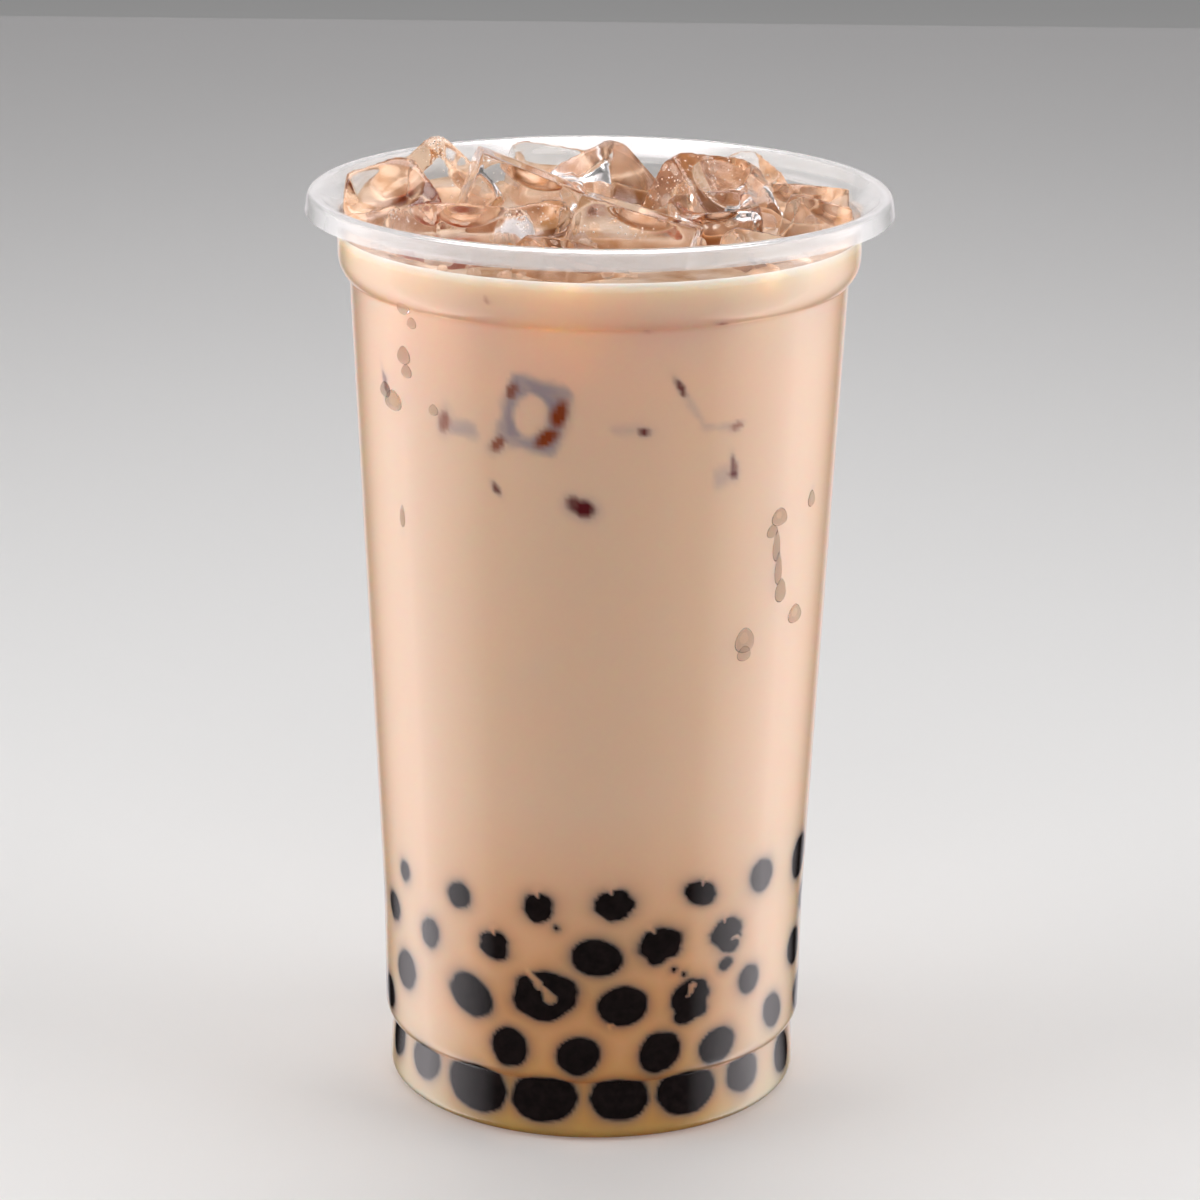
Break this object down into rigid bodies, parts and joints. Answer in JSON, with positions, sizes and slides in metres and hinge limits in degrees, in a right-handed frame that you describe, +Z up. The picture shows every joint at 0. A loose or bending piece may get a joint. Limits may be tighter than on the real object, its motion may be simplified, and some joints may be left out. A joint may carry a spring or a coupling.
{
  "type": "bubble tea",
  "caption": "Iced milk tea with dark tapioca pearls and clear ice cubes, filled to near the lip of a tall, clear, thin-walled plastic cup",
  "frame": {"origin": "middle of the cup's foot, on the surface it stands on", "axes": "+Z up along the cup's axis, -Y towards the side that the picture shows, +X to that view's right"},
  "size_m": [0.095, 0.095, 0.1573],
  "materials": {
    "cup_plastic": "clear thermoformed polypropylene, glossy",
    "milk_tea": "opaque milky tea, pinkish tan, smooth and wet",
    "tapioca": "near-black cooked tapioca, moist",
    "ice": "clear wet ice with bubbles, edges melted round"
  },
  "bodies": {
    "root": {"cup": "cup_plastic", "milk_tea": "milk_tea", "pearls": "tapioca", "ice_1": "ice", "ice_2": "ice", "ice_3": "ice", "ice_4": "ice", "ice_5": "ice", "ice_6": "ice", "ice_7": "ice", "ice_8": "ice", "ice_9": "ice", "ice_10": "ice", "ice_11": "ice", "ice_12": "ice", "ice_13": "ice", "ice_14": "ice", "ice_15": "ice", "ice_16": "ice"}
  },
  "joints": []
}
